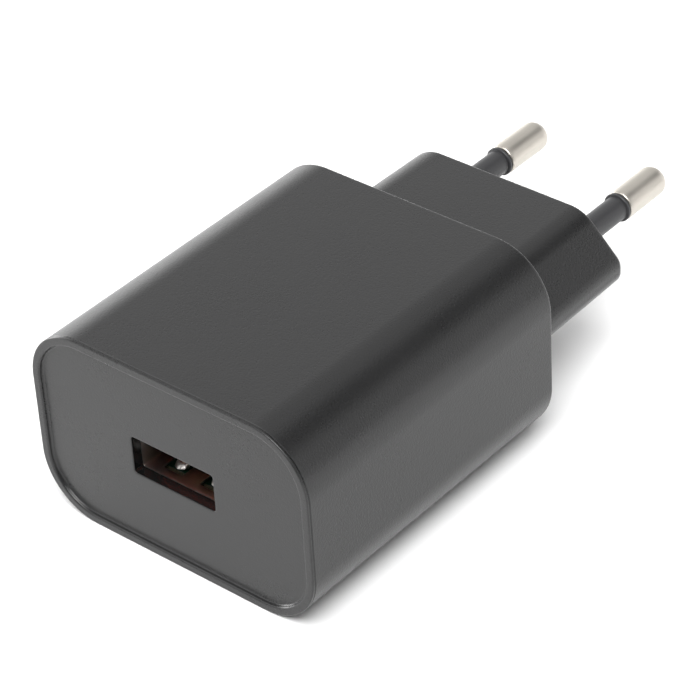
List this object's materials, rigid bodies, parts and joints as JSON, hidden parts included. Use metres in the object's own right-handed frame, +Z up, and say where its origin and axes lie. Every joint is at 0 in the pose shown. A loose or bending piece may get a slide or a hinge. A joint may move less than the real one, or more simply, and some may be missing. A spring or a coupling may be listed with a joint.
{
  "type": "usb wall charger",
  "caption": "Small rounded-box mains charger with a fixed flat two-pin plug on its stepped neck and a USB type A port in a recessed front panel.",
  "frame": {"origin": "bottom centre of the whole charger's bounding box, on the flat underside it lies on", "axes": "+X across the front panel to the right as the pins are followed away from the viewer, +Y along the pins away from the USB port, +Z up out of the wide flat side"},
  "size_m": [0.0416, 0.0826, 0.0264],
  "materials": {
    "casing": "fine satin texture, dark grey moulded plastic",
    "pin_insulation": "smooth black-grey moulded plastic",
    "pin_metal": "bright nickel plating over brass",
    "tinned_metal": "tin-plated sheet and wire",
    "usb_shell_metal": "bright nickel-plated steel sheet",
    "usb_insulator": "red-orange moulded insulator",
    "contact_gold": "gold-plated spring alloy",
    "board": "green solder mask over glass-epoxy board",
    "capacitor_black": "shrink sleeve over an aluminium can",
    "capacitor_blue": "shrink sleeve over an aluminium can",
    "ferrite": "sintered ferrite, matt grey",
    "winding": "enamelled copper wire",
    "tape": "yellow polyester tape",
    "black_epoxy": "moulded black epoxy",
    "resistor_coat": "cement coating",
    "disc_blue": "dipped blue epoxy",
    "opto_white": "moulded white epoxy"
  },
  "bodies": {
    "charger": {"bridge_rectifier": "black_epoxy", "choke_core": "ferrite", "choke_winding": "winding", "contact_spring_left": "tinned_metal", "contact_spring_right": "tinned_metal", "controller_ic": "black_epoxy", "front_cap": "casing", "fusible_resistor": "resistor_coat", "housing": "casing", "input_capacitor_1": "capacitor_black", "input_capacitor_2": "capacitor_black", "main_board": "board", "optocoupler": "opto_white", "output_capacitor_1": "capacitor_blue", "output_capacitor_2": "capacitor_blue", "output_diode": "black_epoxy", "pin_left": "pin_metal", "pin_right": "pin_metal", "pin_sleeve_left": "pin_insulation", "pin_sleeve_right": "pin_insulation", "power_transistor": "black_epoxy", "primary_winding": "winding", "safety_capacitor": "disc_blue", "secondary_winding": "winding", "transformer_bobbin": "black_epoxy", "transformer_core_lower": "ferrite", "transformer_core_upper": "ferrite", "transformer_pin_1": "tinned_metal", "transformer_pin_2": "tinned_metal", "transformer_pin_3": "tinned_metal", "transformer_pin_4": "tinned_metal", "transformer_pin_5": "tinned_metal", "transformer_pin_6": "tinned_metal", "transformer_tape": "tape", "usb_contact_tail_1": "contact_gold", "usb_contact_tail_2": "contact_gold", "usb_contact_tail_3": "contact_gold", "usb_contact_tail_4": "contact_gold", "usb_shell": "usb_shell_metal", "usb_tongue": "usb_insulator"},
    "usb_contact_1": {"usb_contact_arm_1": "contact_gold"},
    "usb_contact_2": {"usb_contact_arm_2": "contact_gold"},
    "usb_contact_3": {"usb_contact_arm_3": "contact_gold"},
    "usb_contact_4": {"usb_contact_arm_4": "contact_gold"}
  },
  "joints": [
    {"name": "usb_contact_1_flex", "type": "hinge", "parent": "charger", "child": "usb_contact_1", "pos_m": [-0.0035, -0.0281, 0.01378], "axis": [-1, 0, 0], "range_deg": [0, 3], "stiffness_Nm_per_rad": 0.12},
    {"name": "usb_contact_2_flex", "type": "hinge", "parent": "charger", "child": "usb_contact_2", "pos_m": [-0.001, -0.0281, 0.01378], "axis": [-1, 0, 0], "range_deg": [0, 3], "stiffness_Nm_per_rad": 0.12},
    {"name": "usb_contact_3_flex", "type": "hinge", "parent": "charger", "child": "usb_contact_3", "pos_m": [0.001, -0.0281, 0.01378], "axis": [-1, 0, 0], "range_deg": [0, 3], "stiffness_Nm_per_rad": 0.12},
    {"name": "usb_contact_4_flex", "type": "hinge", "parent": "charger", "child": "usb_contact_4", "pos_m": [0.0035, -0.0281, 0.01378], "axis": [-1, 0, 0], "range_deg": [0, 3], "stiffness_Nm_per_rad": 0.12}
  ]
}
